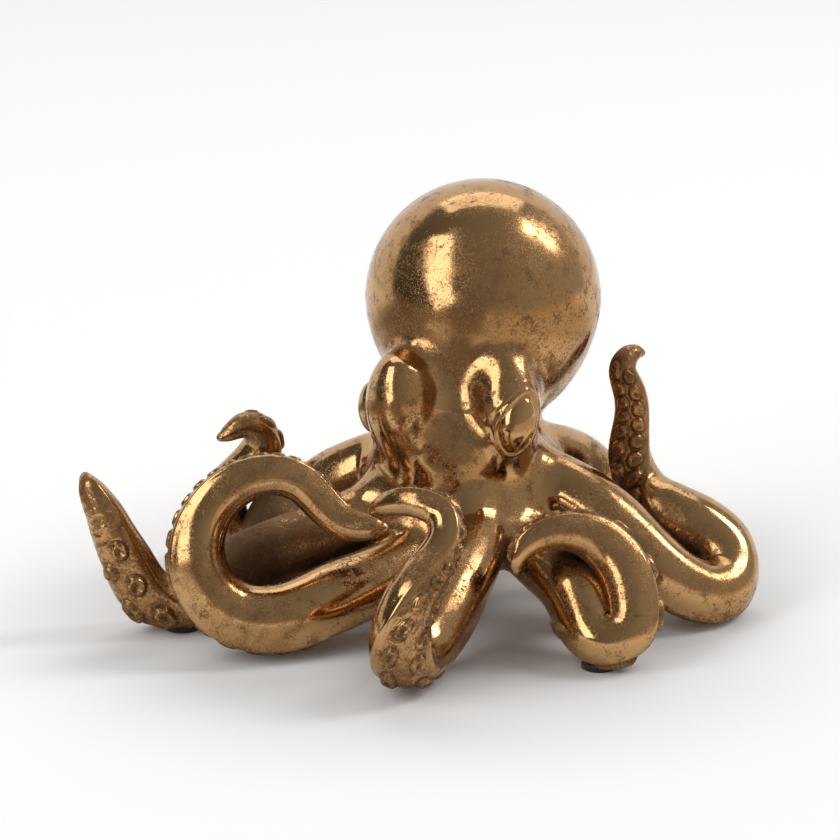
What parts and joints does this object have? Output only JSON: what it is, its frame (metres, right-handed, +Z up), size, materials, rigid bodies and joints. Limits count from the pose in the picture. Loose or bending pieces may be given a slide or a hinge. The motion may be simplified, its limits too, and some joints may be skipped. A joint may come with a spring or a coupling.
{
  "type": "octopus figurine",
  "caption": "Tabletop octopus figurine in aged cast brass: a round hollow mantle and head, and curling solid arms that stand on dark felt pads.",
  "frame": {"origin": "on the ground, at the centre of the figurine's bounding box seen from above", "axes": "+X to the figurine's widest side, the picture's right; the face looks towards -Y; +Z up"},
  "size_m": [0.2988, 0.2827, 0.1869],
  "materials": {
    "brass": "polished cast brass, aged: brown patches, fine pits, soft gloss",
    "eye_brass": "smoothly polished brass",
    "raw_brass": "dull brown brass, as cast",
    "felt": "dense black wool felt"
  },
  "bodies": {
    "root": {"mantle_and_head": "brass", "core_plug": "raw_brass", "arm_front_left": "brass", "arm_front": "brass", "arm_front_right": "brass", "arm_right": "brass", "arm_back_right": "brass", "arm_back": "brass", "arm_back_left": "brass", "arm_left": "brass", "eye_left": "eye_brass", "eye_right": "eye_brass", "pad_left": "felt", "pad_front_right": "felt", "pad_back_right": "felt", "pad_back_left": "felt"}
  },
  "joints": []
}
